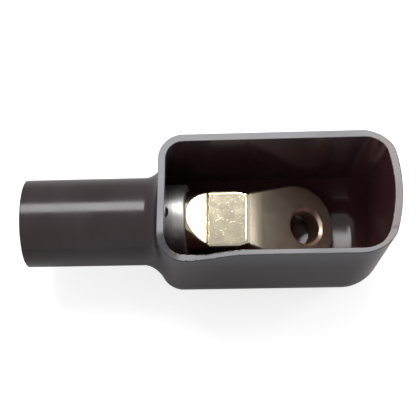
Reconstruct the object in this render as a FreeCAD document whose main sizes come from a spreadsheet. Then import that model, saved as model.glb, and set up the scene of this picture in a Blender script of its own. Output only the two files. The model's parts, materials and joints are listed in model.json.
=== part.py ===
"""Insulated cable lug: a soft moulded boot over a crimp barrel with an angled brass palm.

Millimetres.  X runs from the cable end to the hood, Z points out of the hood's opening, and the
origin is the centre of the barrel's mouth, where the stripped conductor goes in.
"""
import FreeCAD, Part
import math
import os

import Sketcher

# Driving dimensions, one spreadsheet cell each.
DIMS = {
    # boot: one moulded piece
    "wall": 1.9,
    "neck_radius": 11.4,
    "neck_overhang": 6.0,
    "neck_reach": 40.0,
    "neck_blend": 4.2,
    "neck_bevel": 3.4,
    "hood_half_width": 16.1,
    "hood_start": 20.0,
    "hood_length": 80.0,
    "hood_blank_top": 27.0,
    "belly_centre_z": -6.3,
    "belly_flat_half": 3.0,
    "belly_edge_radius": 6.4,
    "rim_z": 19.9,
    "cable_end_high_x": 31.7,
    "cable_end_low_x": 26.4,
    "cable_end_radius": 6.2,
    "far_end_x": 87.55,
    "far_end_lean": 11.2,
    "far_end_bow": 41.0,
    "far_end_radius": 6.0,
    "cutter_height": 30.0,
    "cutter_span": 24.0,
    "cutter_near_x": 8.0,
    "cutter_far_x": 112.0,
    "dip_start_x": 30.6,
    "dip_low_x": 38.5,
    "dip_end_x": 55.0,
    "dip_depth": 4.4,
    "dip_margin": 0.6,
    "dip_front": 16.5,
    "dip_fade": 0.5,
    # barrel
    "barrel_radius": 9.4,
    "barrel_length": 36.25,
    "bore_radius": 6.75,
    "bore_depth": 33.0,
    "bore_lead_in": 0.4,
    "barrel_edge": 0.4,
    "sight_radius": 1.2,
    "sight_x": 30.6,
    # palm
    "stub_radius": 7.65,
    "stub_length": 8.0,
    "facet_run": 5.5,
    "flat_z": 1.5,
    "palm_thickness": 6.4,
    "facet_drop": 6.05,
    "bend_x": 52.6,
    "flat_half_width": 7.65,
    "waist_half_width": 6.9,
    "waist_length": 2.4,
    "palm_angle": 36.8,
    "palm_round_centre": 15.5,
    "palm_round_radius": 10.9,
    "hole_centre": 17.6,
    "hole_radius": 4.5,
    "hole_edge": 0.75,
    "bend_facet": 1.15,
    "throat_radius": 1.6,
    "edge_bevel": 0.35,
    "lug_roll": 5.5,
}

ORIGIN_POINT = (-1, 1)
HORIZONTAL_AXIS = -1
VERTICAL_AXIS = -2
START, END, CENTRE = 1, 2, 3

TOUCH = 1e-3  # values closer than this are equal
CLOSE = 0.01  # the same for places worked out from a sloping plane
EDGE_SAMPLES = (0.05, 0.5, 0.95)  # shares of an edge's length at which it is looked at

# The rim dip's curve on each side of its low point: share of the run and share of the depth.
DIP_FALL = ((0.5, 0.7),)
DIP_RISE = ((1 / 3, 0.72), (2 / 3, 0.22))

doc = FreeCAD.newDocument("cable_lug")
sheet = doc.addObject("Spreadsheet::Sheet", "dims")
for row, (name, number) in enumerate(DIMS.items(), start=1):
    sheet.set(f"A{row}", name)
    sheet.set(f"B{row}", str(number))
    sheet.setAlias(f"B{row}", name)
doc.recompute()


def formula(text):
    """Turns a sum of cell names, such as 'bend_x - waist_length', into its value and its expression."""
    total, sign, words = 0.0, 1.0, []
    for word in text.split():
        if word in "+-":
            sign = -1.0 if word == "-" else 1.0
            words.append(word)
        else:
            total += sign * DIMS[word]
            words.append(f"dims.{word}")
            sign = 1.0
    return total, " ".join(words)


def make_body(label):
    body = doc.addObject("PartDesign::Body", label)
    body.Label = label
    return body


def make_sketch(body, name, role, lift=None, turn=None):
    """Adds a sketch on one of the body's origin planes, lifted along the plane's normal by a formula."""
    sketch = body.newObject("Sketcher::SketchObject", name)
    plane = next(item for item in body.Origin.OriginFeatures if item.Role == role)
    sketch.AttachmentSupport = [(plane, "")]
    sketch.MapMode = "FlatFace"
    if turn is not None:
        sketch.AttachmentOffset = turn
    if lift is not None:
        sketch.setExpression("AttachmentOffset.Base.z", formula(lift)[1])
    return sketch


def bind(sketch, kind, where, text):
    """Adds a dimension whose value follows the spreadsheet."""
    value, expression = formula(text)
    index = sketch.addConstraint(Sketcher.Constraint(kind, *where, value))
    sketch.setExpression(f"Constraints[{index}]", expression)


def pin(sketch, point, across, up):
    """Fixes a sketch point by its two coordinates; None keeps it on the axis."""
    if across is None:
        sketch.addConstraint(Sketcher.Constraint("PointOnObject", *point, VERTICAL_AXIS))
    else:
        bind(sketch, "DistanceX", ORIGIN_POINT + point, across)
    if up is None:
        sketch.addConstraint(Sketcher.Constraint("PointOnObject", *point, HORIZONTAL_AXIS))
    else:
        bind(sketch, "DistanceY", ORIGIN_POINT + point, up)


def line(start, end):
    return Part.LineSegment(FreeCAD.Vector(*start, 0), FreeCAD.Vector(*end, 0))


def arc(centre, radius, first, last):
    """A circular arc, counter-clockwise between two angles in degrees."""
    circle = Part.Circle(FreeCAD.Vector(*centre, 0), FreeCAD.Vector(0, 0, 1), radius)
    return Part.ArcOfCircle(circle, math.radians(first), math.radians(last))


def draw_circle(sketch, radius, across=None, up=None):
    place = [formula(text)[0] if text else 0.0 for text in (across, up)]
    circle = Part.Circle(FreeCAD.Vector(*place, 0), FreeCAD.Vector(0, 0, 1), formula(radius)[0])
    index = sketch.addGeometry(circle)
    bind(sketch, "Radius", (index,), radius)
    pin(sketch, (index, CENTRE), across, up)


def draw_polygon(sketch, corners):
    """Draws a closed polygon whose corners are pairs of formulas."""
    values = [[formula(text)[0] if text else 0.0 for text in corner] for corner in corners]
    count = len(corners)
    sides = [sketch.addGeometry(line(values[i], values[(i + 1) % count])) for i in range(count)]
    for i, side in enumerate(sides):
        sketch.addConstraint(Sketcher.Constraint("Coincident", side, END, sides[(i + 1) % count], START))
    for side, corner in zip(sides, corners):
        pin(sketch, (side, START), *corner)


def pad(body, name, sketch, length, reversed_=False, midplane=False):
    feature = body.newObject("PartDesign::Pad", name)
    feature.Profile = sketch
    feature.setExpression("Length", formula(length)[1])
    feature.Reversed = reversed_
    feature.Midplane = midplane
    doc.recompute()
    return feature


def cut_through(body, name, sketch, one_way=False):
    """Cuts a sketch through everything, to both sides of its plane or only to the front."""
    before = body.Shape.Volume
    feature = body.newObject("PartDesign::Pocket", name)
    feature.Profile = sketch
    feature.Type = "ThroughAll"
    feature.Midplane = not one_way
    feature.Reversed = one_way
    doc.recompute()
    if not feature.Shape.Volume < before - TOUCH:
        raise RuntimeError(f"{name} removed nothing")
    return feature


def edges_where(shape, test):
    """Names of the edges whose sampled points all pass a test."""
    names = []
    for number, edge in enumerate(shape.Edges, start=1):
        first, last = edge.ParameterRange
        points = [edge.valueAt(first + (last - first) * share) for share in EDGE_SAMPLES]
        if all(test(point) for point in points):
            names.append(f"Edge{number}")
    return names


def round_edges(body, name, test, radius, kind="PartDesign::Fillet", size="Radius"):
    base = body.Tip
    chosen = edges_where(base.Shape, test)
    if not chosen:
        raise RuntimeError(f"{name} found no edge")
    feature = body.newObject(kind, name)
    feature.Base = (base, chosen)
    feature.setExpression(size, formula(radius)[1])
    doc.recompute()
    return feature


def near(value, target, slack=TOUCH):
    return abs(value - target) < slack


def make_form(body, skin=""):
    """The boot's outer form, or with a skin such as ' - wall' the core that leaves its walls."""
    grown = skin.replace("-", "+")
    half = formula("hood_half_width" + skin)[0]
    low = DIMS["belly_centre_z"]
    edge = formula("belly_edge_radius" + skin)[0]
    flat = DIMS["belly_flat_half"]
    turn = math.degrees(math.acos(flat / (half - edge)))
    corner_z = low - (half - edge) * math.sin(math.radians(turn))
    belly = corner_z - edge
    top = DIMS["hood_blank_top"]

    section = make_sketch(body, "hood_section", "YZ_Plane", "hood_start")
    section.addGeometry(line((-half, top), (half, top)))
    section.addGeometry(line((half, top), (half, low)))
    section.addGeometry(arc((0, low), half, -turn, 0))
    section.addGeometry(arc((flat, corner_z), edge, -90, -turn))
    section.addGeometry(line((-flat, belly), (flat, belly)))
    section.addGeometry(arc((-flat, corner_z), edge, turn - 180, -90))
    section.addGeometry(arc((0, low), half, -180, turn - 180))
    section.addGeometry(line((-half, low), (-half, top)))
    section.addConstraint(Sketcher.Constraint("Coincident", 0, END, 1, START))
    section.addConstraint(Sketcher.Constraint("Coincident", 7, END, 0, START))
    for joint in ((1, END, 2, END), (2, START, 3, END), (3, START, 4, END), (4, START, 5, END),
                  (5, START, 6, END), (6, START, 7, START)):
        section.addConstraint(Sketcher.Constraint("Tangent", *joint))
    section.addConstraint(Sketcher.Constraint("Horizontal", 0))
    section.addConstraint(Sketcher.Constraint("Symmetric", 4, START, 4, END, VERTICAL_AXIS))
    section.addConstraint(Sketcher.Constraint("Vertical", 1))
    section.addConstraint(Sketcher.Constraint("Vertical", 7))
    section.addConstraint(Sketcher.Constraint("Coincident", 2, CENTRE, 6, CENTRE))
    section.addConstraint(Sketcher.Constraint("Equal", 3, 5))
    pin(section, (2, CENTRE), None, "belly_centre_z")
    bind(section, "Radius", (2,), "hood_half_width" + skin)
    bind(section, "Radius", (3,), "belly_edge_radius" + skin)
    bind(section, "DistanceX", ORIGIN_POINT + (4, END), "belly_flat_half")
    bind(section, "DistanceY", ORIGIN_POINT + (0, START), "hood_blank_top")
    doc.recompute()
    pad(body, "hood_blank", section, "hood_length")

    cable_end = make_sketch(body, "cable_end_line", "XZ_Plane")
    draw_polygon(cable_end, [("cutter_near_x", "cutter_height"),
                             ("cable_end_high_x" + grown, "cutter_height"),
                             ("cable_end_low_x" + grown, "- cutter_height"),
                             ("cutter_near_x", "- cutter_height")])
    cut_through(body, "cable_end_cut", cable_end)

    far_end = make_sketch(body, "far_end_arc", "XY_Plane")
    lean = FreeCAD.Rotation(FreeCAD.Vector(0, 1, 0), DIMS["far_end_lean"])
    crown_x, crown_formula = formula("far_end_x" + skin)
    far_end.AttachmentOffset = FreeCAD.Placement(FreeCAD.Vector(crown_x, 0, 0), lean)
    far_end.setExpression("AttachmentOffset.Base.x", crown_formula)
    far_end.setExpression("AttachmentOffset.Rotation.Angle", "dims.far_end_lean")
    bow, span, reach = formula("far_end_bow" + skin)[0], DIMS["cutter_span"], DIMS["cutter_height"]
    spread = math.degrees(math.asin(span / bow))
    start = bow * math.cos(math.radians(spread)) - bow
    far_end.addGeometry(arc((-bow, 0), bow, -spread, spread))
    far_end.addGeometry(line((start, span), (reach, span)))
    far_end.addGeometry(line((reach, span), (reach, -span)))
    far_end.addGeometry(line((reach, -span), (start, -span)))
    for joint in ((0, END, 1, START), (1, END, 2, START), (2, END, 3, START), (3, END, 0, START)):
        far_end.addConstraint(Sketcher.Constraint("Coincident", *joint))
    bind(far_end, "Radius", (0,), "far_end_bow" + skin)
    pin(far_end, (0, CENTRE), "- far_end_bow" + grown, None)
    bind(far_end, "DistanceY", ORIGIN_POINT + (0, END), "cutter_span")
    bind(far_end, "DistanceY", ORIGIN_POINT + (0, START), "- cutter_span")
    pin(far_end, (2, START), "cutter_height", "cutter_span")
    pin(far_end, (3, START), "cutter_height", "- cutter_span")
    cut_through(body, "far_end_cut", far_end)

    high_x, low_x = (formula(name + grown)[0] for name in ("cable_end_high_x", "cable_end_low_x"))
    slope = (high_x - low_x) / (2 * DIMS["cutter_height"])
    middle = (high_x + low_x) / 2

    def on_cable_end(point):
        return near(point.x, middle + slope * point.z) and point.z < top - CLOSE

    def on_far_end(point):
        return point.x > DIMS["far_end_x"] - DIMS["hood_half_width"] and point.z < top - CLOSE

    round_edges(body, "cable_end_round", on_cable_end, "cable_end_radius" + skin)
    round_edges(body, "far_end_round", on_far_end, "far_end_radius" + skin)

    ring = make_sketch(body, "neck_circle", "YZ_Plane", "- neck_overhang" + skin)
    draw_circle(ring, "neck_radius" + skin)
    doc.recompute()
    pad(body, "neck", ring, "neck_reach")
    neck = formula("neck_radius" + skin)[0]

    def on_neck_joint(point):
        return near(math.hypot(point.y, point.z), neck) and point.x > DIMS["hood_start"]

    if skin:
        round_edges(body, "neck_mouth_bevel", on_neck_joint, "neck_bevel", "PartDesign::Chamfer", "Size")
    else:
        round_edges(body, "neck_swell", on_neck_joint, "neck_blend")


def make_boot():
    """The boot: a round neck that swells into a round-bottomed hood, hollow, and trimmed at the rim."""
    body = make_body("insulating_boot")
    make_form(body)

    rim = make_sketch(body, "rim_line", "XZ_Plane")
    draw_polygon(rim, [("cutter_near_x", "rim_z"), ("cutter_far_x", "rim_z"),
                       ("cutter_far_x", "cutter_height"), ("cutter_near_x", "cutter_height")])
    cut_through(body, "rim_cut", rim)

    dips = []
    for name, depth, lift in (("dip_front", DIMS["dip_depth"], "dip_front"), ("dip_fade", 0.0, "dip_fade")):
        sketch = make_sketch(body, name, "XZ_Plane", lift)
        sketch.addGeometry(dip_curve(depth))
        first, last, high = DIMS["dip_start_x"], DIMS["dip_end_x"], DIMS["cutter_height"]
        edge = DIMS["rim_z"] + DIMS["dip_margin"]
        sketch.addGeometry(line((last, edge), (last, high)))
        sketch.addGeometry(line((last, high), (first, high)))
        sketch.addGeometry(line((first, high), (first, edge)))
        dips.append(sketch)
    doc.recompute()
    dip = body.newObject("PartDesign::SubtractiveLoft", "rim_dip")
    dip.Profile = dips[0]
    dip.Sections = [dips[1]]
    dip.Ruled = True
    doc.recompute()

    core = make_body("boot_core")
    make_form(core, " - wall")
    hollow = body.newObject("PartDesign::Boolean", "hollow")
    hollow.Type = "Cut"
    hollow.Group = [core]
    doc.recompute()
    return body


def dip_curve(depth):
    """The rim's wave at the front corner, from just above the rim, down by a depth and up again."""
    rim, margin = DIMS["rim_z"], DIMS["dip_margin"]
    start, low, end = DIMS["dip_start_x"], DIMS["dip_low_x"], DIMS["dip_end_x"]
    places = [(start, -margin)]
    places += [(start + (low - start) * run, depth * share) for run, share in DIP_FALL]
    places.append((low, depth))
    places += [(low + (end - low) * run, depth * share) for run, share in DIP_RISE]
    places.append((end, -margin))
    curve = Part.BSplineCurve()
    curve.interpolate([FreeCAD.Vector(x, rim - drop, 0) for x, drop in places])
    return curve


def make_barrel():
    """The crimp barrel: turned, bored from the cable end, with a sight hole at its crown."""
    body = make_body("crimp_barrel")
    profile = make_sketch(body, "barrel_profile", "XZ_Plane")
    draw_polygon(profile, [(None, "bore_radius"), ("bore_depth", "bore_radius"), ("bore_depth", None),
                           ("barrel_length", None), ("barrel_length", "barrel_radius"),
                           (None, "barrel_radius")])
    doc.recompute()
    turned = body.newObject("PartDesign::Revolution", "turned_barrel")
    turned.Profile = profile
    turned.ReferenceAxis = (profile, ["H_Axis"])
    turned.Angle = 360
    doc.recompute()

    sight = make_sketch(body, "sight_circle", "XY_Plane")
    draw_circle(sight, "sight_radius", "sight_x")
    doc.recompute()
    cut_through(body, "sight_hole", sight, one_way=True)

    bore, outer, length = DIMS["bore_radius"], DIMS["barrel_radius"], DIMS["barrel_length"]
    round_edges(body, "bore_lead_in",
                lambda p: near(p.x, 0) and near(math.hypot(p.y, p.z), bore), "bore_lead_in",
                "PartDesign::Chamfer", "Size")
    round_edges(body, "barrel_edges",
                lambda p: (near(p.x, 0) or near(p.x, length)) and near(math.hypot(p.y, p.z), outer),
                "barrel_edge", "PartDesign::Chamfer", "Size")
    return body


def make_palm():
    """The palm: a round stub faceted to a flat bar, bent down and flared to a round end with a hole."""
    body = make_body("lug_palm")
    stub_circle = make_sketch(body, "stub_circle", "YZ_Plane", "barrel_length")
    draw_circle(stub_circle, "stub_radius")
    doc.recompute()
    pad(body, "stub", stub_circle, "stub_length")

    # facets above and below bring the round stub down to the bar's two faces
    upper = make_sketch(body, "upper_facet", "XZ_Plane")
    draw_polygon(upper, [("barrel_length", "flat_z + facet_drop"), ("barrel_length + facet_run", "flat_z"),
                         ("bend_x", "flat_z"), ("bend_x", "cutter_height"),
                         ("barrel_length", "cutter_height")])
    cut_through(body, "upper_facet_cut", upper)
    lower = make_sketch(body, "lower_facet", "XZ_Plane")
    draw_polygon(lower, [("barrel_length", "flat_z - palm_thickness - facet_drop"),
                         ("barrel_length + facet_run", "flat_z - palm_thickness"),
                         ("bend_x", "flat_z - palm_thickness"), ("bend_x", "- cutter_height"),
                         ("barrel_length", "- cutter_height")])
    cut_through(body, "lower_facet_cut", lower)

    flat = make_sketch(body, "flat_outline", "XY_Plane", "flat_z")
    draw_polygon(flat, [("barrel_length + facet_run", "- flat_half_width"),
                        ("bend_x - waist_length", "- flat_half_width"), ("bend_x", "- waist_half_width"),
                        ("bend_x", "waist_half_width"), ("bend_x - waist_length", "flat_half_width"),
                        ("barrel_length + facet_run", "flat_half_width")])
    doc.recompute()
    pad(body, "flat_bar", flat, "palm_thickness", reversed_=True)

    # the palm's plane starts at the bend line and falls away by the palm's angle
    centre, radius, waist = DIMS["palm_round_centre"], DIMS["palm_round_radius"], DIMS["waist_half_width"]
    palm = make_sketch(body, "palm_outline", "XY_Plane")
    fall = FreeCAD.Rotation(FreeCAD.Vector(0, 1, 0), DIMS["palm_angle"])
    palm.AttachmentOffset = FreeCAD.Placement(FreeCAD.Vector(DIMS["bend_x"], 0, DIMS["flat_z"]), fall)
    palm.setExpression("AttachmentOffset.Base.x", "dims.bend_x")
    palm.setExpression("AttachmentOffset.Base.z", "dims.flat_z")
    palm.setExpression("AttachmentOffset.Rotation.Angle", "dims.palm_angle")
    reach = math.hypot(centre, waist)
    touch = math.degrees(math.atan2(waist, -centre)) - math.degrees(math.acos(radius / reach))
    meet = (centre + radius * math.cos(math.radians(touch)), radius * math.sin(math.radians(touch)))
    palm.addGeometry(line((0, -waist), (meet[0], -meet[1])))
    palm.addGeometry(arc((centre, 0), radius, -touch, touch))
    palm.addGeometry(line(meet, (0, waist)))
    palm.addGeometry(line((0, waist), (0, -waist)))
    for joint in ((0, END, 1, START), (1, END, 2, START)):
        palm.addConstraint(Sketcher.Constraint("Tangent", *joint))
    palm.addConstraint(Sketcher.Constraint("Coincident", 2, END, 3, START))
    palm.addConstraint(Sketcher.Constraint("Coincident", 3, END, 0, START))
    bind(palm, "Radius", (1,), "palm_round_radius")
    pin(palm, (1, CENTRE), "palm_round_centre", None)
    pin(palm, (3, START), None, "waist_half_width")
    pin(palm, (3, END), None, "- waist_half_width")
    doc.recompute()
    pad(body, "palm_plate", palm, "palm_thickness", reversed_=True)

    angle = math.radians(DIMS["palm_angle"])
    bend_x, top, thickness = DIMS["bend_x"], DIMS["flat_z"], DIMS["palm_thickness"]
    round_edges(body, "bend_facet", lambda p: near(p.x, bend_x) and near(p.z, top), "bend_facet",
                "PartDesign::Chamfer", "Size")
    inner_x = bend_x - thickness * math.tan(angle / 2)
    round_edges(body, "throat_round",
                lambda p: near(p.x, inner_x, CLOSE) and near(p.z, top - thickness, CLOSE), "throat_radius")

    def above_sloping_face(point):
        return (point.x - bend_x) * math.sin(angle) + (point.z - top) * math.cos(angle)

    waist_start = bend_x - DIMS["waist_length"]

    def on_top_outline(point):
        at_side = abs(point.y) > waist - TOUCH or point.x > bend_x + centre / 2
        on_flat = near(point.z, top) and waist_start - TOUCH < point.x < bend_x
        on_slope = near(above_sloping_face(point), 0) and point.x > bend_x
        on_facet = near(point.x, bend_x, DIMS["bend_facet"]) and point.z > top - DIMS["bend_facet"]
        return at_side and (on_flat or on_slope or on_facet)

    round_edges(body, "top_bevel", on_top_outline, "edge_bevel", "PartDesign::Chamfer", "Size")

    # the same bevel along the bar's two long edges
    for side, sign, back in (("left", "", "-"), ("right", "- ", "+")):
        corner = make_sketch(body, f"bar_bevel_{side}", "YZ_Plane", "barrel_length + facet_run")
        edge = f"{sign}flat_half_width"
        draw_polygon(corner, [(f"{edge} {back} edge_bevel", "flat_z"), (edge, "flat_z - edge_bevel"),
                              (edge, "flat_z")])
        doc.recompute()
        cut = body.newObject("PartDesign::Pocket", f"bar_bevel_cut_{side}")
        cut.Profile = corner
        cut.setExpression("Length", formula("bend_x - waist_length - barrel_length - facet_run")[1])
        cut.Reversed = True
        doc.recompute()

    bolt = make_sketch(body, "bolt_circle", "XY_Plane")
    bolt.AttachmentOffset = palm.AttachmentOffset
    bolt.setExpression("AttachmentOffset.Base.x", "dims.bend_x")
    bolt.setExpression("AttachmentOffset.Base.z", "dims.flat_z")
    bolt.setExpression("AttachmentOffset.Rotation.Angle", "dims.palm_angle")
    draw_circle(bolt, "hole_radius", "hole_centre")
    doc.recompute()
    cut_through(body, "bolt_hole", bolt)

    def on_hole_edge(point):
        along = (point.x - bend_x) * math.cos(angle) - (point.z - top) * math.sin(angle)
        return near(math.hypot(along - DIMS["hole_centre"], point.y), DIMS["hole_radius"], CLOSE)

    round_edges(body, "hole_bevel", on_hole_edge, "hole_edge", "PartDesign::Chamfer", "Size")
    return body


def check_and_write(bodies):
    """Stops if anything failed, then writes each sub-part to its own file."""
    doc.recompute()
    failed = [item.Label for item in doc.Objects if "Invalid" in item.State or "Error" in item.State]
    if failed:
        raise RuntimeError(f"failed objects: {failed}")
    os.makedirs("parts", exist_ok=True)
    for body in bodies:
        shape = body.Shape
        if shape.isNull() or not shape.isValid() or len(shape.Solids) != 1:
            raise RuntimeError(f"{body.Label} is not one valid solid")
        shape.exportStep(f"parts/{body.Label}.step")
        print(body.Label, round(shape.Volume, 1), shape.BoundBox)


def main():
    boot = make_boot()
    barrel = make_barrel()
    palm = make_palm()
    rolled = FreeCAD.Rotation(FreeCAD.Vector(1, 0, 0), DIMS["lug_roll"])
    for piece in (barrel, palm):
        piece.Placement = FreeCAD.Placement(FreeCAD.Vector(0, 0, 0), rolled)
        piece.setExpression("Placement.Rotation.Angle", "dims.lug_roll")
    check_and_write([boot, barrel, palm])


main()
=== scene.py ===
"""Looks of the insulated cable lug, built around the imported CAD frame.

Sizes are millimetres in the frame's own axes: X runs from the cable end to the hood, Z points out of
the hood's opening and the origin is the centre of the barrel's mouth.  Each piece is a solid described
by a distance function, from which an even skin of quads is drawn.
"""
from __future__ import annotations

import json
import logging
import math
from dataclasses import dataclass, field
from enum import Enum
from typing import Callable, Sequence

import bpy
import numpy as np
from mathutils import Matrix, Vector

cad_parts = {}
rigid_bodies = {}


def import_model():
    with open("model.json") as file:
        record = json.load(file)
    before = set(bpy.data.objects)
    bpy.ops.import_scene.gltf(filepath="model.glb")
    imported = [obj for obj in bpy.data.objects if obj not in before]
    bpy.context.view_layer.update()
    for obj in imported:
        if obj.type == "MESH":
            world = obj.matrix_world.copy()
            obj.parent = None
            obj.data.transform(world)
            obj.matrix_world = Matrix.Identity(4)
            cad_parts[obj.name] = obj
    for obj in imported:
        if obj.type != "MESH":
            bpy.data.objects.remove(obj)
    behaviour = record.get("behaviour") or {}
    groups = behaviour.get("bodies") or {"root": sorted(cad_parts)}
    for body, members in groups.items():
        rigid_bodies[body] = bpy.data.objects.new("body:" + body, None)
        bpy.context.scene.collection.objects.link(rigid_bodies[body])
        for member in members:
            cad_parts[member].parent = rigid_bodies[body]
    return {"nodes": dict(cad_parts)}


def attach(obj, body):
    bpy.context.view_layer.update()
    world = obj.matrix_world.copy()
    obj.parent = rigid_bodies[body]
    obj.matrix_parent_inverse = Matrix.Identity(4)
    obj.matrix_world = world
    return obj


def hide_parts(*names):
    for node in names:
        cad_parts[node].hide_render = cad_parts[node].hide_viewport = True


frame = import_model()

LOG = logging.getLogger("cable_lug")
MM = 0.001
Field = Callable[[np.ndarray], np.ndarray]


# Solids as distance functions


def round_and(a: np.ndarray, b: np.ndarray, radius: float) -> np.ndarray:
    """The overlap of two solids, with a rounded edge where their faces meet.

    Args:
        a: Distances to the first solid, negative inside.
        b: Distances to the second solid.
        radius: Radius of the rounded edge.

    Returns:
        Distances to the overlap.
    """
    corner = np.hypot(np.maximum(a + radius, 0.0), np.maximum(b + radius, 0.0))
    return np.minimum(-radius, np.maximum(a, b)) + corner


def round_or(a: np.ndarray, b: np.ndarray, radius: float) -> np.ndarray:
    """Two solids joined, with a hollow fillet of a radius where their faces meet."""
    return -round_and(-a, -b, radius)


def bevel_and(a: np.ndarray, b: np.ndarray, size: float) -> np.ndarray:
    """The overlap of two solids, with a flat bevel of a size where their faces meet."""
    return np.maximum(np.maximum(a, b), (a + b + size) * math.sqrt(0.5))


def smooth_step(value: np.ndarray, low: float, high: float) -> np.ndarray:
    """A smooth rise from 0 at low to 1 at high."""
    share = np.clip((value - low) / (high - low), 0.0, 1.0)
    return share * share * (3.0 - 2.0 * share)


def grid_lines(start: float, *runs: tuple[float, float]) -> np.ndarray:
    """Grid lines along one axis, closer where the piece needs it.

    Args:
        start: The first line.
        runs: The end of each run and the spacing in it.

    Returns:
        The places of the lines.
    """
    lines = [start]
    coarse = 1.0
    for end, spacing in runs:
        count = max(1, round((end - lines[-1]) / (spacing * coarse)))
        lines.extend(np.linspace(lines[-1], end, count + 1)[1:])
    return np.array(lines)


@dataclass
class Skin:
    """A skin of quads over a solid.

    Attributes:
        solid: The solid's distance function, in millimetres.
        lines: Grid lines along X, Y and Z; a quad is about as large as their spacing.
        reach: The most that a corner moves in one step on its way to the surface.
        feel: How far to each side of a point its slope is measured.
        ease: Changes the normals at some points, if given.
    """

    solid: Field
    lines: Sequence[np.ndarray]
    reach: float = 0.5
    feel: float = 0.02
    ease: Callable[[np.ndarray, np.ndarray], np.ndarray] | None = None

    def draw(self, name: str) -> bpy.types.Object:
        """Draws the skin and makes its Blender object.

        Args:
            name: Name of the object.

        Returns:
            The new object, in metres.
        """
        corners, quads = self._net()
        for _ in range(2):
            corners = self._even(self._settle(corners), quads)
        for _ in range(3):
            corners = self._settle(corners)
        mesh = bpy.data.meshes.new(name)
        mesh.from_pydata((corners * MM).tolist(), [], quads.tolist())
        mesh.update()
        mesh.polygons.foreach_set("use_smooth", np.ones(len(quads), dtype=bool))
        _, slope = self._slope(corners)
        if self.ease is not None:
            slope = self.ease(corners, slope)
        mesh.normals_split_custom_set_from_vertices(slope.tolist())
        obj = bpy.data.objects.new(name, mesh)
        bpy.context.scene.collection.objects.link(obj)
        return obj

    def _net(self) -> tuple[np.ndarray, np.ndarray]:
        """Finds one corner in each cell that the surface crosses, and the quads between them.

        Returns:
            Corner points and quads.
        """
        grid = np.stack(np.meshgrid(*self.lines, indexing="ij"), axis=-1)
        value = self.solid(grid.reshape(-1, 3)).reshape(grid.shape[:3])
        inside = value < 0.0
        cells = tuple(count - 1 for count in value.shape)
        total = np.zeros(cells + (3,))
        number = np.zeros(cells)
        crossings = []
        for axis in range(3):
            near = [slice(None)] * 3
            far = [slice(None)] * 3
            near[axis], far[axis] = slice(0, -1), slice(1, None)
            near, far = tuple(near), tuple(far)
            crossed = inside[near] != inside[far]
            share = np.where(crossed, value[near] / np.where(crossed, value[near] - value[far], 1.0), 0.0)
            point = grid[near] + (grid[far] - grid[near]) * share[..., None]
            point *= crossed[..., None]
            sides = [other for other in range(3) if other != axis]
            for first in (slice(0, -1), slice(1, None)):
                for second in (slice(0, -1), slice(1, None)):
                    part = [slice(None)] * 3
                    part[sides[0]], part[sides[1]] = first, second
                    total += point[tuple(part)]
                    number += crossed[tuple(part)]
            crossings.append((axis, crossed, inside[near]))
        used = number > 0
        index = np.full(cells, -1, dtype=np.int64)
        index[used] = np.arange(np.count_nonzero(used))
        corners = total[used] / number[used][:, None]
        quads = [self._quads(index, *crossing) for crossing in crossings]
        return corners, np.concatenate(quads)

    @staticmethod
    def _quads(index: np.ndarray, axis: int, crossed: np.ndarray, starts_inside: np.ndarray) -> np.ndarray:
        """Makes the quads around the grid edges along one axis that the surface crosses.

        Args:
            index: Corner number of each cell.
            axis: The grid edges' axis.
            crossed: Which grid edges are crossed.
            starts_inside: Whether each grid edge starts inside the solid.

        Returns:
            Quads, facing out of the solid.
        """
        one, two = (axis + 1) % 3, (axis + 2) % 3
        inner = [slice(None)] * 3
        inner[one], inner[two] = slice(1, -1), slice(1, -1)
        places = np.argwhere(crossed[tuple(inner)])
        places[:, one] += 1
        places[:, two] += 1
        ring = []
        for back_one, back_two in ((1, 1), (0, 1), (0, 0), (1, 0)):
            cell = places.copy()
            cell[:, one] -= back_one
            cell[:, two] -= back_two
            ring.append(index[tuple(cell.T)])
        quads = np.stack(ring, axis=1)
        outward = starts_inside[tuple(places.T)]
        quads[~outward] = quads[~outward][:, ::-1]
        return quads

    def _slope(self, points: np.ndarray) -> tuple[np.ndarray, np.ndarray]:
        """The distance and its slope at some points."""
        slope = np.empty_like(points)
        for axis in range(3):
            shift = np.zeros(3)
            shift[axis] = self.feel
            slope[:, axis] = (self.solid(points + shift) - self.solid(points - shift)) / (2.0 * self.feel)
        slope /= np.maximum(np.linalg.norm(slope, axis=1, keepdims=True), 1e-9)
        return self.solid(points), slope

    def _settle(self, points: np.ndarray) -> np.ndarray:
        """Moves points onto the surface."""
        distance, slope = self._slope(points)
        return points - np.clip(distance, -self.reach, self.reach)[:, None] * slope

    @staticmethod
    def _even(points: np.ndarray, quads: np.ndarray) -> np.ndarray:
        """Moves each corner half way to the middle of its neighbours."""
        total = np.zeros_like(points)
        number = np.zeros(len(points))
        for near, far in ((0, 1), (1, 2), (2, 3), (3, 0)):
            for start, end in ((near, far), (far, near)):
                for axis in range(3):
                    total[:, axis] += np.bincount(quads[:, start], points[quads[:, end], axis], len(points))
                number += np.bincount(quads[:, start], minlength=len(points))
        return 0.5 * points + 0.5 * total / number[:, None]


# Finishes


class Channel:
    """One shader value, used in Python expressions that add Math nodes."""

    def __init__(self, graph: "Graph", socket: bpy.types.NodeSocket) -> None:
        """Wraps an output socket of a graph."""
        self.graph = graph
        self.socket = socket

    def _math(self, operation: str, first: object, second: object) -> "Channel":
        """Adds one Math node."""
        return self.graph.add("ShaderNodeMath", {"operation": operation}, {0: first, 1: second})

    def __add__(self, other: object) -> "Channel":
        """self + other"""
        return self._math("ADD", self, other)

    def __sub__(self, other: object) -> "Channel":
        """self - other"""
        return self._math("SUBTRACT", self, other)

    def __mul__(self, other: object) -> "Channel":
        """self * other"""
        return self._math("MULTIPLY", self, other)

    def __rsub__(self, other: object) -> "Channel":
        """other - self"""
        return self._math("SUBTRACT", other, self)

    __radd__ = __add__
    __rmul__ = __mul__


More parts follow.
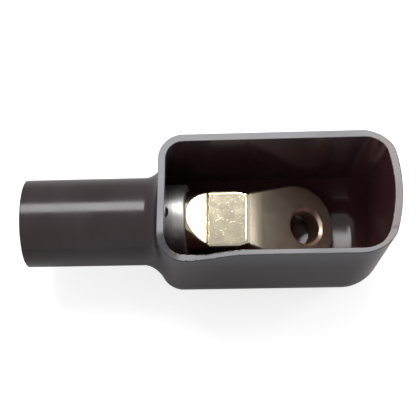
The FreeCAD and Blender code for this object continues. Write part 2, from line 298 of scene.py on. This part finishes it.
class Graph:
    """A material and the nodes in it."""

    def __init__(self, name: str) -> None:
        """Makes the material with its shader and output."""
        self.material = bpy.data.materials.new(name)
        self.material.use_nodes = True
        self.tree = self.material.node_tree
        self.shader = next(n for n in self.tree.nodes if n.type == "BSDF_PRINCIPLED")

    def add(self, kind: str, settings: dict, inputs: dict, output: int | str = 0) -> Channel:
        """Adds any node.

        Args:
            kind: Node type.
            settings: Settings of the node, set first.
            inputs: Values or links of its sockets, by name or number.
            output: The output that the result wraps.

        Returns:
            The node's output.
        """
        node = self.tree.nodes.new(kind)
        for key, value in settings.items():
            if key == "stops":
                self._stops(node.color_ramp, value)
            else:
                setattr(node, key, value)
        for key, value in inputs.items():
            self.feed(node.inputs[key], value)
        return Channel(self, node.outputs[output])

    def feed(self, socket: bpy.types.NodeSocket, value: object) -> None:
        """Links a channel to a socket, or sets a plain value on it."""
        if isinstance(value, Channel):
            self.tree.links.new(value.socket, socket)
        else:
            socket.default_value = value

    @staticmethod
    def _stops(ramp: bpy.types.ColorRamp, stops: Sequence[tuple[float, float]]) -> None:
        """Sets a ramp's grey stops."""
        while len(ramp.elements) < len(stops):
            ramp.elements.new(1.0)
        for element, (place, level) in zip(ramp.elements, stops):
            element.position = place
            element.color = (level, level, level, 1.0)

    def noise(self, scale: float, detail: float, stretch: Sequence[float] = (1, 1, 1)) -> Channel:
        """A noise between about 0.3 and 0.7 over the piece.

        Args:
            scale: Spots per metre.
            detail: How many finer layers it has.
            stretch: Scale along each axis.

        Returns:
            The noise's value.
        """
        place = self.add("ShaderNodeTexCoord", {}, {}, "Object")
        place = self.add("ShaderNodeMapping", {}, {"Vector": place, "Scale": tuple(stretch)})
        return self.add("ShaderNodeTexNoise", {}, {"Vector": place, "Scale": scale, "Detail": detail})

    def spots(self, value: Channel, low: float, high: float) -> Channel:
        """Turns a value into a mask that rises from 0 at low to 1 at high."""
        limits = {"Value": value, "From Min": low, "From Max": high}
        return self.add("ShaderNodeMapRange", {"interpolation_type": "SMOOTHSTEP"}, limits)

    def along(self, axis: str, low: float, high: float) -> Channel:
        """A mask that rises from 0 to 1 between two places along an axis of the piece, in millimetres."""
        place = self.add("ShaderNodeTexCoord", {}, {}, "Object")
        place = self.add("ShaderNodeSeparateXYZ", {}, {"Vector": place}, axis)
        return self.spots(place, low * MM, high * MM)

    def mix(self, share: object, first: Sequence[float], second: Sequence[float]) -> Channel:
        """Mixes two colours."""
        node = self.tree.nodes.new("ShaderNodeMix")
        node.data_type = "RGBA"
        self.feed(node.inputs[0], share)
        self.feed(node.inputs[6], first)
        self.feed(node.inputs[7], second)
        return Channel(self, node.outputs[2])

    def height(self, value: Channel, depth: float, strength: float) -> Channel:
        """A bump from a height value, depth in metres."""
        return self.add("ShaderNodeBump", {}, {"Height": value, "Distance": depth, "Strength": strength})

    def dress(self, values: dict) -> bpy.types.Material:
        """Feeds the shader's sockets by name and gives the material."""
        for name, value in values.items():
            self.feed(self.shader.inputs[name], value)
        return self.material


@dataclass(frozen=True)
class MouldedVinyl:
    """The boot's dark soft vinyl, slightly glossy, with a fine uneven skin.

    Attributes:
        colour: Colour of the outer skin.
        bloom: Colour of its paler clouds.
        hollow_painted_light: Colour inside the hood, lighter than the outer skin: painted fill light for
            the hood's shaded inside.
        rim_painted_sheen: Paler blue-grey that the outer skin fades to towards the rim, a painted sheen on
            the rim and the upper skin.
        roughness: Least roughness of the outer skin.
        dulling: How much rougher a cloud is.
        hollow_gloss: How much smoother the inside is.
        cloud_scale: Clouds per metre.
        cloud_share: Most that a cloud tints the skin.
        grain_scale: Grains per metre.
        grain_depth: Depth of the grain in metres.
        rim_painted_sheen_fade: Heights between which the skin fades to the painted sheen's colour, in
            millimetres.
        hollow_start: Where the inside starts along X.
        hollow_front: Where the inside starts at the front wall, along Y.
        hollow_back: Where the inside ends at the back wall, along Y.
    """

    colour: tuple = (0.018, 0.0085, 0.0098, 1.0)
    bloom: tuple = (0.028, 0.019, 0.022, 1.0)
    hollow_painted_light: tuple = (0.060, 0.022, 0.026, 1.0)
    rim_painted_sheen: tuple = (0.045, 0.045, 0.055, 1.0)
    roughness: float = 0.17
    dulling: float = 0.08
    hollow_gloss: float = 0.05
    cloud_scale: float = 90.0
    cloud_share: float = 0.6
    grain_scale: float = 2600.0
    grain_depth: float = 0.00001
    rim_painted_sheen_fade: tuple = (9.0, 19.5)
    hollow_start: tuple = (33.5, 35.5)
    hollow_front: tuple = (-14.9, -14.3)
    hollow_back: tuple = (13.9, 14.5)

    def make(self) -> bpy.types.Material:
        """Makes the material."""
        graph = Graph("moulded_vinyl")
        cloud = graph.spots(graph.noise(self.cloud_scale, 3.0), 0.35, 0.7)
        grain = graph.noise(self.grain_scale, 2.0)
        # The inner mask marks the hood's inside: there the colour is lightened as painted fill light, and
        # the skin is glossier.
        inner = graph.along("X", *self.hollow_start) * graph.along("Y", *self.hollow_front)
        inner = inner * (1.0 - graph.along("Y", *self.hollow_back))
        skin = graph.mix(cloud * self.cloud_share, self.colour, self.bloom)
        # Painted sheen: the skin turns paler and bluer with height, up to the rim.
        skin = graph.mix(graph.along("Z", *self.rim_painted_sheen_fade), skin, self.rim_painted_sheen)
        return graph.dress({
            "Base Color": graph.mix(inner, skin, self.hollow_painted_light),
            "Roughness": self.roughness + self.dulling * cloud - self.hollow_gloss * inner,
            "Normal": graph.height(grain, self.grain_depth, 0.3),
        })


@dataclass(frozen=True)
class TurnedAluminium:
    """The barrel's dull turned aluminium.

    Attributes:
        light: Its lighter colour.
        dark: Colour of the turning marks.
        roughness: Least roughness.
        dulling: How much rougher a turning mark is.
        mark_scale: Turning marks per metre along the barrel.
        mark_stretch: Scale along each axis, so that the marks run round the barrel.
        mark_depth: Depth of the marks in metres.
    """

    light: tuple = (0.62, 0.61, 0.60, 1.0)
    dark: tuple = (0.42, 0.41, 0.41, 1.0)
    roughness: float = 0.34
    dulling: float = 0.12
    mark_scale: float = 900.0
    mark_stretch: tuple = (1.0, 0.12, 0.12)
    mark_depth: float = 0.00003

    def make(self) -> bpy.types.Material:
        """Makes the material."""
        graph = Graph("turned_aluminium")
        marks = graph.noise(self.mark_scale, 3.0, self.mark_stretch)
        mask = graph.spots(marks, 0.35, 0.7)
        return graph.dress({
            "Base Color": graph.mix(mask, self.light, self.dark),
            "Metallic": 1.0,
            "Roughness": self.roughness + self.dulling * mask,
            "Normal": graph.height(marks, self.mark_depth, 0.4),
        })


@dataclass(frozen=True)
class PressedBrass:
    """The palm's brass, with faint patches, a sandy grain and a few small bright pits.

    Attributes:
        light: Colour of the stub and the flat.
        dark: Colour of their patches.
        palm: Colour past the bend, lighter than the flat's: painted light on the palm's slope.
        painted_wall_reflection: Reddish tint towards the palm's end, a painted reflection of the boot's
            reddish-brown inner wall.
        roughness: Least roughness of the stub and the flat.
        dulling: How much rougher a patch is.
        worn_roughness: How much rougher the palm is.
        patch_scale: Patches per metre.
        grain_scale: Grains per metre.
        pit_scale: Pits per metre.
        pit_depth: Depth of a pit in metres.
        bend: Where the palm's lighter, painted-light colour starts, along X in millimetres.
        rough_start: Where the palm's roughness starts.
        painted_wall_reflection_start: Where the painted reflection's tint starts.
    """

    light: tuple = (0.58, 0.51, 0.39, 1.0)
    dark: tuple = (0.50, 0.45, 0.32, 1.0)
    palm: tuple = (0.84, 0.73, 0.56, 1.0)
    painted_wall_reflection: tuple = (0.82, 0.60, 0.48, 1.0)
    roughness: float = 0.12
    dulling: float = 0.05
    worn_roughness: float = 0.24
    patch_scale: float = 420.0
    grain_scale: float = 1700.0
    pit_scale: float = 2300.0
    pit_depth: float = 0.00003
    bend: tuple = (51.8, 52.3)
    rough_start: tuple = (51.5, 53.5)
    painted_wall_reflection_start: tuple = (56.0, 70.0)

    def make(self) -> bpy.types.Material:
        """Makes the material."""
        graph = Graph("pressed_brass")
        patches = graph.spots(graph.noise(self.patch_scale, 3.0), 0.35, 0.68)
        grain = graph.noise(self.grain_scale, 3.0)
        pits = graph.spots(graph.noise(self.pit_scale, 1.0), 0.66, 0.74)
        brass = graph.mix(patches, self.light, self.dark)
        # Painted light: past the bend the brass turns lighter, lifting the palm's slope.
        brass = graph.mix(graph.along("X", *self.bend), brass, self.palm)
        # Painted reflection: the palm turns reddish towards its end, for the boot's inner wall that it
        # faces.
        brass = graph.mix(graph.along("X", *self.painted_wall_reflection_start), brass, self.painted_wall_reflection)
        rough = self.roughness + self.dulling * patches
        rough = rough + self.worn_roughness * graph.along("X", *self.rough_start)
        return graph.dress({
            "Base Color": brass,
            "Metallic": 1.0,
            "Roughness": rough,
            "Normal": graph.height(grain * 0.5 + pits, self.pit_depth, 0.15),
        })


class Finish(Enum):
    """The finish of each piece, with the record's slot that it belongs to."""

    BOOT = ("boot", MouldedVinyl())
    BARREL = ("barrel", TurnedAluminium())
    PALM = ("palm", PressedBrass())

    def put_on(self, obj: bpy.types.Object) -> None:
        """Puts the finish on a piece."""
        slot_name, recipe = self.value
        obj.data.materials.clear()
        obj.data.materials.append(recipe.make())


# Pieces


@dataclass
class Boot:
    """The moulded boot: a round neck that swells into a round-bottomed hood, open at the top.

    The dip_ fields count along the rim's run from the front corner at the cable end, the thin_ fields say
    where the front wall gets thinner, and the rest are sizes and places of the forms that they name.
    """

    wall: float = 1.9
    front_wall: float = 1.45
    thin_front: tuple = (11.0, 14.0)
    thin_along: tuple = (36.0, 44.0)
    neck_radius: float = 11.4
    neck_end: float = -6.0
    neck_reach: float = 34.0
    neck_blend: float = 4.2
    half_width: float = 16.1
    belly_centre: float = -6.3
    belly_flat: float = 3.0
    belly_edge: float = 6.4
    rim: float = 19.9
    cable_end_x: float = 29.05
    cable_end_slope: float = 0.0883
    cable_end_round: float = 6.2
    far_end_x: float = 87.55
    far_end_lean: float = 11.2
    far_end_bow: float = 41.0
    far_end_round: float = 6.0
    rim_round: float = 0.15
    lip_ease: float = 0.75
    lip_facing: tuple = (0.6, 0.85)
    lip_depth: tuple = (0.1, 0.4)
    floor_bow: float = 57.0
    floor_facing: tuple = (0.8, 0.95)
    floor_depth: tuple = (14.0, 16.0)
    dip_depth: float = 4.3
    dip_start: float = -1.0
    dip_low: float = 10.5
    dip_turn: float = 11.0
    dip_end: float = 26.5

    def _section(self, across: np.ndarray, up: np.ndarray) -> np.ndarray:
        """Distances to the hood's round-bottomed section."""
        across = np.abs(across)
        low = up - self.belly_centre
        sides = np.where(low > 0.0, across, np.hypot(across, low)) - self.half_width
        inner = self.half_width - self.belly_edge
        turn = math.acos(self.belly_flat / inner)
        corner = self.belly_centre - inner * math.sin(turn)
        under = across * math.sin(turn) + low * math.cos(turn) < 0.0
        edge = np.hypot(across - self.belly_flat, up - corner) - self.belly_edge
        belly = np.where(across > self.belly_flat, edge, corner - self.belly_edge - up)
        return np.where(under & (low < 0.0), belly, sides)

    def _form(self, points: np.ndarray) -> np.ndarray:
        """Distances to the outer form, without the hollow or the rim's cut."""
        x, y, z = points.T
        hood = self._section(y, z)
        square = math.hypot(1.0, self.cable_end_slope)
        cable_end = (self.cable_end_x + self.cable_end_slope * z - x) / square
        lean = math.radians(self.far_end_lean)
        along = (x - self.far_end_x) * math.cos(lean) - z * math.sin(lean)
        far_end = np.hypot(along + self.far_end_bow, y) - self.far_end_bow
        hood = round_and(hood, cable_end, self.cable_end_round)
        hood = round_and(hood, far_end, self.far_end_round)
        neck = np.maximum(np.hypot(y, z) - self.neck_radius, x - self.neck_reach)
        return round_or(hood, neck, self.neck_blend)

    def _rim_height(self, x: np.ndarray, y: np.ndarray) -> np.ndarray:
        """Height of the rim over the plan, with the dip that starts at the front corner.

        The dip follows the rim's run, which is counted from where the corner's arc leaves the cable end.
        """
        radius = self.cable_end_round
        back = self.cable_end_x + self.cable_end_slope * self.rim + radius - x
        front = self.half_width - radius + y
        turn = np.arctan2(-front, np.maximum(back, 1e-6))
        corner = np.where(back > 0.0, radius * turn, 0.5 * math.pi * radius - back)
        run = np.where(front > 0.0, -front, corner)
        fall = smooth_step(run, self.dip_start, self.dip_low)
        rise = 1.0 - smooth_step(run, self.dip_turn, self.dip_end)
        return self.rim - self.dip_depth * fall * rise

    def solid(self, points: np.ndarray) -> np.ndarray:
        """Distances to the hollow boot."""
        x, y, _ = points.T
        form = self._form(points)
        front = smooth_step(-y, *self.thin_front) * smooth_step(x, *self.thin_along)
        wall = self.wall - (self.wall - self.front_wall) * front
        shell = np.maximum(form, -(form + wall))
        shell = round_and(shell, points[:, 2] - self._rim_height(x, y), self.rim_round)
        return round_and(shell, self.neck_end - x, self.rim_round)

    def build(self) -> bpy.types.Object:
        """Draws the boot."""
        along = grid_lines(-7.0, (-5.0, 0.25), (24.0, 0.9), (34.5, 0.35), (38.0, 0.45), (53.0, 0.6),
                           (82.0, 1.1), (93.0, 0.35))
        across = grid_lines(-17.2, (-13.6, 0.26), (-9.0, 0.45), (9.0, 0.75), (13.6, 0.45), (17.2, 0.26))
        up = grid_lines(-23.0, (-18.5, 0.5), (12.0, 0.6), (15.0, 0.45), (19.2, 0.3), (20.6, 0.2))
        return Skin(self.solid, (along, across, up), ease=self._ease).draw("insulating_boot_skin")

    def _ease(self, points: np.ndarray, normals: np.ndarray) -> np.ndarray:
        """Eases the normals of the rim and of the hollow's floor.

        The rim's face is lit as nearly level, as its soft lip turns out, and the floor as one shallow bow.

        Args:
            points: Points of the skin.
            normals: Its normals there.

        Returns:
            The normals that light falls on.
        """
        x, y, z = points.T
        facing, depth = normals[:, 2], self._rim_height(x, y) - z
        rim = smooth_step(facing, *self.lip_facing) * (1.0 - smooth_step(depth, *self.lip_depth))
        eased = normals * np.stack([1.0 - self.lip_ease * rim] * 2 + [np.ones(len(normals))], axis=1)
        floor = smooth_step(facing, *self.floor_facing) * smooth_step(-z, *self.floor_depth)
        eased[:, 1] -= floor * (eased[:, 1] + y / self.floor_bow)
        return eased / np.linalg.norm(eased, axis=1, keepdims=True)


@dataclass
class Rolled:
    """What the lug's two pieces share: both sit rolled about X in the boot."""

    roll: float = 5.5

    def upright(self, points: np.ndarray) -> tuple[np.ndarray, np.ndarray, np.ndarray]:
        """Turns points back into the lug's own axes."""
        x, y, z = points.T
        turn = math.radians(self.roll)
        return x, y * math.cos(turn) + z * math.sin(turn), z * math.cos(turn) - y * math.sin(turn)


@dataclass
class Barrel(Rolled):
    """The crimp barrel, bored from the cable end, with a sight hole at its crown.

    The lead-in is the bevel inside the bore's mouth, and sight_x is the sight hole's place along X.
    """

    radius: float = 9.4
    length: float = 36.25
    bore: float = 6.75
    depth: float = 33.0
    lead_in: float = 0.4
    edge: float = 0.35
    bore_edge: float = 0.05
    sight_edge: float = 0.25
    sight: float = 1.2
    sight_x: float = 30.85

    def solid(self, points: np.ndarray) -> np.ndarray:
        """Distances to the barrel."""
        x, y, z = self.upright(points)
        outside = np.hypot(y, z)
        ends = np.maximum(-x, x - self.length)
        body = round_and(outside - self.radius, ends, self.edge)
        bore = np.maximum(outside - self.bore, x - self.depth)
        body = bevel_and(body, -bore, self.bore_edge)
        mouth = (outside - self.bore + x - self.lead_in) * math.sqrt(0.5)
        body = np.maximum(body, -mouth)
        sight = np.maximum(np.hypot(x - self.sight_x, y) - self.sight, -z)
        return bevel_and(body, -sight, self.sight_edge)

    def build(self) -> bpy.types.Object:
        """Draws the barrel."""
        along = grid_lines(-1.0, (1.5, 0.25), (29.5, 0.9), (37.4, 0.25))
        across = grid_lines(-10.4, (10.4, 0.4))
        return Skin(self.solid, (along, across, across)).draw("crimp_barrel_skin")


@dataclass
class Palm(Rolled):
    """The brass palm: a round stub faceted down to a flat bar, bent down to a round end with a hole.

    Places along the slope are counted from the bend. The facet_ fields are the stub's upper facet, the
    bend_facet_ fields the narrow one at the bend, and the border_ fields where the flat's edges fall away.
    """

    stub_start: float = 36.25
    stub_radius: float = 7.65
    facet_run: float = 5.5
    facet_drop: float = 6.05
    facet_edge: float = 0.5
    facet_angle: float = 42.0
    facet_shine: float = 36.5
    shoulder: float = 0.2
    shoulder_lean: float = 8.6
    flat_z: float = 1.5
    thickness: float = 6.4
    bend_x: float = 52.6
    half_width: float = 7.65
    waist: float = 6.9
    waist_run: float = 2.4
    waist_lead: float = 1.2
    angle: float = 36.8
    bend_round: float = 0.8
    throat_round: float = 1.6
    round_centre: float = 15.5
    round_radius: float = 10.9
    hole_centre: float = 17.6
    hole: float = 4.5
    hole_edge: float = 0.75
    edge: float = 0.35
    under_edge: float = 0.5
    bend_facet_x: float = 52.35
    bend_facet_drop: float = 0.127
    bend_facet_angle: float = 22.0
    bend_facet_round: float = 0.3
    border: float = 1.0
    border_end: float = 51.9
    border_slope: float = 0.15
    border_round: float = 2.2
    border_start: float = 0.25
    facet_near: tuple = (0.97, 0.99)

    def _stub(self, x: np.ndarray, y: np.ndarray, z: np.ndarray) -> np.ndarray:
        """Distances to the round stub with its two facets."""
        along = x - self.stub_start
        rise = z - self.flat_z
        drop, run = self.facet_drop, self.facet_run
        fall = math.radians(self.facet_angle)
        top = along * math.sin(fall) + (rise - drop) * math.cos(fall)
        lean = math.radians(self.shoulder_lean)
        shoulder = (along - run) * math.cos(lean) + rise * math.sin(lean)
        top = round_and(top, shoulder, self.shoulder)
        steep = math.hypot(drop, run)
        under = (along * drop - (rise + self.thickness) * run - run * drop) / steep
        stub = np.hypot(y, z) - self.stub_radius
        stub = round_and(stub, top, self.facet_edge)
        stub = round_and(stub, under, self.facet_edge)
        return stub

    def _plan(self, x: np.ndarray, slope: np.ndarray, y: np.ndarray) -> np.ndarray:
        """Distances to the outline seen square on to each face: the bar, the waist and the round end."""
        across = np.abs(y)
        ease = smooth_step(x, self.bend_x - self.waist_run - self.waist_lead, self.bend_x)
        bar = across - (self.half_width - (self.half_width - self.waist) * ease)
        reach = math.hypot(self.round_centre, self.waist)
        touch = math.atan2(self.waist, -self.round_centre) - math.acos(self.round_radius / reach)
        normal = (math.cos(touch), math.sin(touch))
        flare = (slope - self.round_centre) * normal[0] + across * normal[1] - self.round_radius
        disc = np.hypot(slope - self.round_centre, across) - self.round_radius
        turned = (slope - self.round_centre) * normal[1] - across * normal[0]
        palm = np.where(turned < 0.0, flare, disc)
        return np.where(slope < 0.0, bar, palm)

    def _border(self, x: np.ndarray, y: np.ndarray) -> np.ndarray:
        """How far the flat falls away towards its two sides and the bend."""
        side = np.abs(y) - (self.half_width - self.border)
        bend = x - self.border_end
        inset = round_and(side, bend, self.border_round)
        return self.border_slope * np.maximum(inset, 0.0) * smooth_step(inset, 0.0, self.border_start)

    def solid(self, points: np.ndarray) -> np.ndarray:
        """Distances to the palm."""
        x, y, z = self.upright(points)
        fall = math.radians(self.angle)
        flat_top = z - self.flat_z
        fallen_top = flat_top * math.cos(fall) + (x - self.bend_x) * math.sin(fall)
        slope = (x - self.bend_x) * math.cos(fall) - flat_top * math.sin(fall)
        facet_fall = math.radians(self.bend_facet_angle)
        facet = (flat_top + self.bend_facet_drop) * math.cos(facet_fall)
        facet += (x - self.bend_facet_x) * math.sin(facet_fall)
        top = round_and(flat_top + self._border(x, y), facet, self.bend_facet_round)
        top = round_and(top, fallen_top, self.bend_round)
        under = round_or(-flat_top - self.thickness, -fallen_top - self.thickness, self.throat_round)
        plan = self._plan(x, slope, y)
        plate = bevel_and(top, plan, self.edge)
        plate = bevel_and(plate, under, self.under_edge)
        plate = np.maximum(plate, self.stub_start + self.facet_run - x)
        hole = np.hypot(slope - self.hole_centre, y) - self.hole
        plate = bevel_and(plate, -hole, self.hole_edge)
        stub = np.maximum(self._stub(x, y, z), self.stub_start - x)
        return np.minimum(plate, stub)

    def build(self) -> bpy.types.Object:
        """Draws the palm."""
        along = grid_lines(35.6, (75.0, 0.3))
        across = grid_lines(-12.6, (13.0, 0.32))
        up = grid_lines(-20.4, (9.0, 0.32))
        return Skin(self.solid, (along, across, up), ease=self._ease).draw("lug_palm_skin")

    def _facing(self, angle: float) -> np.ndarray:
        """The way that a face falling towards the palm by an angle looks."""
        fall, turn = math.radians(angle), math.radians(self.roll)
        return np.array((math.sin(fall), -math.cos(fall) * math.sin(turn), math.cos(fall) * math.cos(turn)))

    def _ease(self, points: np.ndarray, normals: np.ndarray) -> np.ndarray:
        """Lights the upper facet as a little flatter than it is, as its middle is slightly hollow.

        Args:
            points: Points of the skin.
            normals: Its normals there.

        Returns:
            The normals that light falls on.
        """
        share = smooth_step(normals @ self._facing(self.facet_angle), *self.facet_near)
        share *= points[:, 0] < self.stub_start + self.facet_run + 0.05
        eased = normals + share[:, None] * (self._facing(self.facet_shine) - self._facing(self.facet_angle))
        return eased / np.linalg.norm(eased, axis=1, keepdims=True)


@dataclass
class CableLug:
    """The whole part, built piece by piece around the CAD frame."""

    boot: Boot = field(default_factory=Boot)
    barrel: Barrel = field(default_factory=Barrel)
    palm: Palm = field(default_factory=Palm)

    def build(self) -> None:
        """Builds and dresses each piece, puts it on its body and hides the CAD node that it stands for."""
        made = (
            (self.boot.build, Finish.BOOT, "insulating_boot"),
            (self.barrel.build, Finish.BARREL, "crimp_barrel"),
            (self.palm.build, Finish.PALM, "lug_palm"),
        )
        for build, finish, node in made:
            obj = build()
            finish.put_on(obj)
            finish.put_on(frame["nodes"][node])
            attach(obj, "root")
            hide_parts(node)
            LOG.info("%s: %d quads", obj.name, len(obj.data.polygons))


# Studio


@dataclass(frozen=True)
class Lamp:
    """A soft rectangular lamp that looks at the part's middle.

    Attributes:
        name: Name of the lamp.
        direction: Where it stands, seen from the part's middle.
        size: Width and height in metres.
        power: Power in watts.
        reach: How far away it stands, in metres.
    """

    name: str
    direction: tuple
    size: tuple
    power: float
    reach: float = 0.8

    def build(self, aim: Vector) -> None:
        """Puts the lamp in its place, turned to the point that it looks at."""
        lamp = bpy.data.lights.new(self.name, "AREA")
        lamp.shape = "RECTANGLE"
        lamp.size, lamp.size_y = self.size
        lamp.energy = self.power
        obj = bpy.data.objects.new(self.name, lamp)
        obj.location = aim + Vector(self.direction).normalized() * self.reach
        obj.rotation_euler = (aim - obj.location).to_track_quat("-Z", "Y").to_euler()
        bpy.context.scene.collection.objects.link(obj)


@dataclass
class Studio:
    """Floor, backdrop light, lamps and the camera at the photograph's viewing angle.

    Attributes:
        floor_z: Height of the floor in millimetres.
        floor_reach: Half the floor's width in metres.
        floor_colour: Colour of the floor.
        backdrop: How much white the floor adds for the camera alone.
        sky: Strength of the world's white light.
        elevation: Angle of the view above level, in degrees.
        azimuth: Angle of the view round from the front.
        roll: How far the camera is turned about its own view.
        pixel: Millimetres that a pixel of the photograph covers.
        distance_px: Distance of the camera, in pixels.
        frame_px: Width of the photograph, in pixels.
        shift_px: Shift of the picture, in pixels.
        middle_x: Place that the camera and the lamps look at, along X.
        sensor: Width of the sensor.
        lamps: A high one behind the part, a narrow one for its edges and a low one to its right.
    """

    floor_z: float = -21.95
    floor_reach: float = 3.0
    floor_colour: tuple = (0.5, 0.5, 0.5, 1.0)
    backdrop: float = 0.7
    sky: float = 0.65
    elevation: float = 69.5
    azimuth: float = 16.38
    roll: float = -16.58
    pixel: float = 0.26
    distance_px: float = 1500.0
    frame_px: float = 420.0
    shift_px: tuple = (0.30, 10.32)
    middle_x: float = 41.95
    sensor: float = 36.0
    lamps: tuple = (
        Lamp("high_lamp", (-0.07, 0.405, 0.91), (0.50, 0.31), 3.9),
        Lamp("edge_lamp", (0.24, 0.15, 0.96), (0.10, 0.12), 0.3),
        Lamp("side_lamp", (0.87, 0.25, 0.40), (0.22, 0.15), 1.25),
    )

    def build(self) -> None:
        """Builds everything that isn't the part."""
        self._floor()
        self._world()
        for lamp in self.lamps:
            lamp.build(Vector((self.middle_x * MM, 0, 0)))
        self._camera()

    def _floor(self) -> None:
        """A plain pale floor under the part."""
        size = self.floor_reach
        mesh = bpy.data.meshes.new("floor")
        corners = [(-size, -size, 0), (size, -size, 0), (size, size, 0), (-size, size, 0)]
        mesh.from_pydata(corners, [], [(0, 1, 2, 3)])
        floor = bpy.data.objects.new("floor", mesh)
        floor.location = (0, 0, self.floor_z * MM)
        bpy.context.scene.collection.objects.link(floor)
        graph = Graph("pale_floor")
        seen = graph.add("ShaderNodeLightPath", {}, {}, "Is Camera Ray")
        mesh.materials.append(graph.dress({
            "Base Color": self.floor_colour,
            "Roughness": 0.9,
            "Specular IOR Level": 0.1,
            "Emission Color": graph.mix(seen, (0.0, 0.0, 0.0, 1.0), (1.0, 1.0, 1.0, 1.0)),
            "Emission Strength": self.backdrop,
        }))

    def _world(self) -> None:
        """A plain world that lights the part evenly."""
        world = bpy.data.worlds.new("studio")
        bpy.context.scene.world = world
        world.use_nodes = True
        shade = world.node_tree.nodes["Background"]
        shade.inputs["Color"].default_value = (1.0, 1.0, 1.0, 1.0)
        shade.inputs["Strength"].default_value = self.sky

    def _camera(self) -> None:
        """The camera at the photograph's viewing angle."""
        around, up, roll = (math.radians(v) for v in (self.azimuth, self.elevation, self.roll))
        back = Vector((math.sin(around) * math.cos(up), -math.cos(around) * math.cos(up), math.sin(up)))
        level = Vector((math.cos(around), math.sin(around), 0.0))
        above = back.cross(level)
        right = level * math.cos(roll) + above * math.sin(roll)
        over = above * math.cos(roll) - level * math.sin(roll)
        step = self.pixel * MM
        centre = Vector((self.middle_x * MM, 0, 0))
        centre += back * self.distance_px * step
        centre += right * self.shift_px[0] * step + over * self.shift_px[1] * step
        lens = bpy.data.cameras.new("camera")
        lens.sensor_width = self.sensor
        lens.lens = self.sensor * self.distance_px / self.frame_px
        lens.clip_start, lens.clip_end = 0.01, 20.0
        camera = bpy.data.objects.new("camera", lens)
        turn = Matrix((right, over, back)).transposed()
        camera.matrix_world = Matrix.Translation(centre) @ turn.to_4x4()
        bpy.context.scene.collection.objects.link(camera)
        bpy.context.scene.camera = camera


def main() -> None:
    """Builds the part and the studio."""
    logging.basicConfig(level=logging.INFO, format="%(name)s %(message)s")
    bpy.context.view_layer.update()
    scene = bpy.context.scene
    for obj in list(scene.objects):
        if obj.type in {"CAMERA", "LIGHT"}:
            bpy.data.objects.remove(obj)
    scene.view_settings.view_transform = "Standard"
    CableLug().build()
    Studio().build()
    bpy.context.view_layer.update()


if __name__ == "__main__":
    main()
